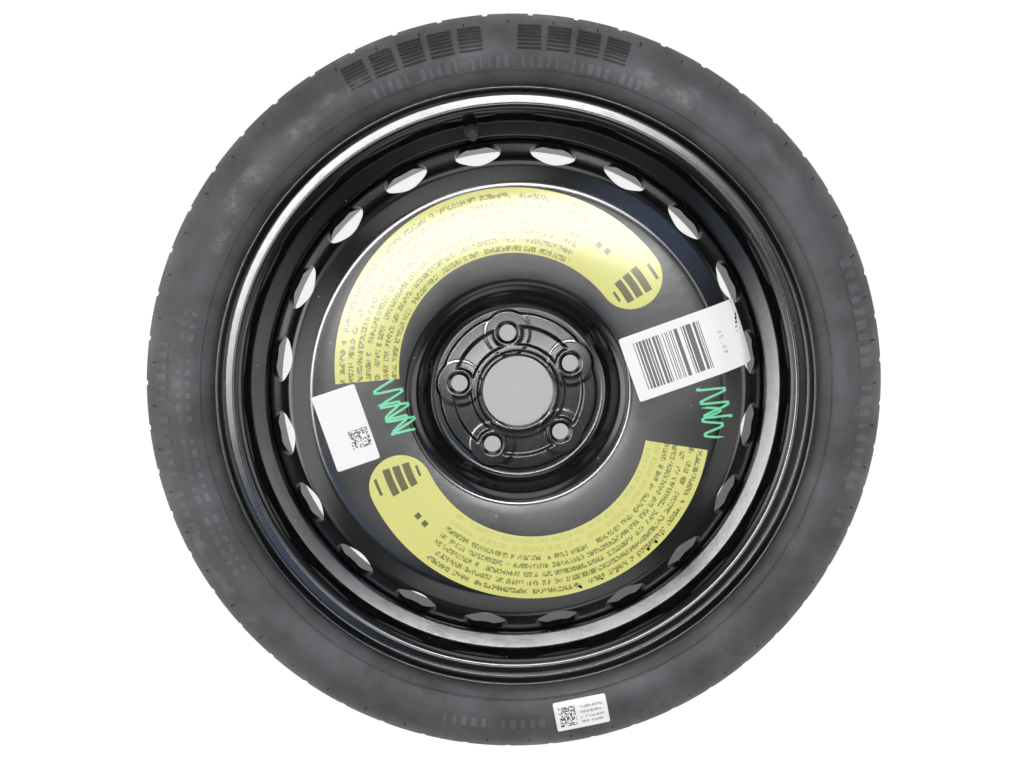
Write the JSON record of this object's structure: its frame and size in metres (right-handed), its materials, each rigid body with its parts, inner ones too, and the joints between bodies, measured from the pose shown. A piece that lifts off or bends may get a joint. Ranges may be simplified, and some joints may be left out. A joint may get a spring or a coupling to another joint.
{
  "type": "space saver spare wheel",
  "caption": "Narrow temporary spare wheel: pressed steel disc and rolled rim with a slim tyre, a sprung valve core, a screw-off valve cap and curved stickers.",
  "frame": {"origin": "middle of the wheel: on the wheel's axis, in the middle plane of the rim and tyre", "axes": "+Z along the wheel's axis, out of its outer face; +Y towards the side that the picture shows at the top; +X to its right"},
  "size_m": [0.682, 0.682, 0.1503],
  "materials": {
    "tyre_rubber": "matt grey black rubber with pale scuffs",
    "rim_paint": "gloss black paint on steel",
    "disc_paint": "semi-gloss black paint on steel",
    "weld_paint": "black paint over weld",
    "valve_rubber": "smooth black rubber",
    "brass": "turned brass",
    "spring_steel": "drawn wire",
    "seal_rubber": "soft seal rubber",
    "seal_red": "coloured seal ring",
    "cap_plastic": "moulded black plastic",
    "sticker_yellow": "printed film, satin",
    "label_white": "printed film, satin"
  },
  "bodies": {
    "wheel": {"tyre": "tyre_rubber", "rim": "rim_paint", "disc": "disc_paint", "weld_beads": "weld_paint", "valve_body": "valve_rubber", "valve_stem": "brass", "core_plug": "brass", "core_barrel": "brass", "barrel_seal": "seal_red", "core_spring": "spring_steel", "upper_sticker": "sticker_yellow", "lower_sticker": "sticker_yellow", "barcode_label": "label_white", "code_label": "label_white", "tyre_label": "label_white"},
    "valve_pin": {"core_pin": "brass", "core_cup": "brass", "cup_seal": "seal_rubber"},
    "cap_lift": {"cap_seal": "seal_rubber"},
    "cap_turn": {"valve_cap": "cap_plastic"}
  },
  "joints": [
    {"name": "pin_press", "type": "slide", "parent": "wheel", "child": "valve_pin", "axis": [-0.0635, 0.3527, -0.9336], "range_m": [0, 0.0015], "stiffness_N_per_m": 1500, "springref_m": -0.001, "deforming": ["core_spring"]},
    {"name": "cap_rise", "type": "slide", "parent": "wheel", "child": "cap_lift", "axis": [0.0635, -0.3527, 0.9336], "range_m": [0, 0.0091]},
    {"name": "cap_unscrew", "type": "hinge", "parent": "cap_lift", "child": "cap_turn", "pos_m": [-0.04321, 0.24017, 0.03583], "axis": [0.0635, -0.3527, 0.9336], "range_deg": [0, 4140]}
  ],
  "couplings": [
    {"joint": "cap_unscrew", "follows": "cap_rise", "rad_per_m": 7917}
  ]
}
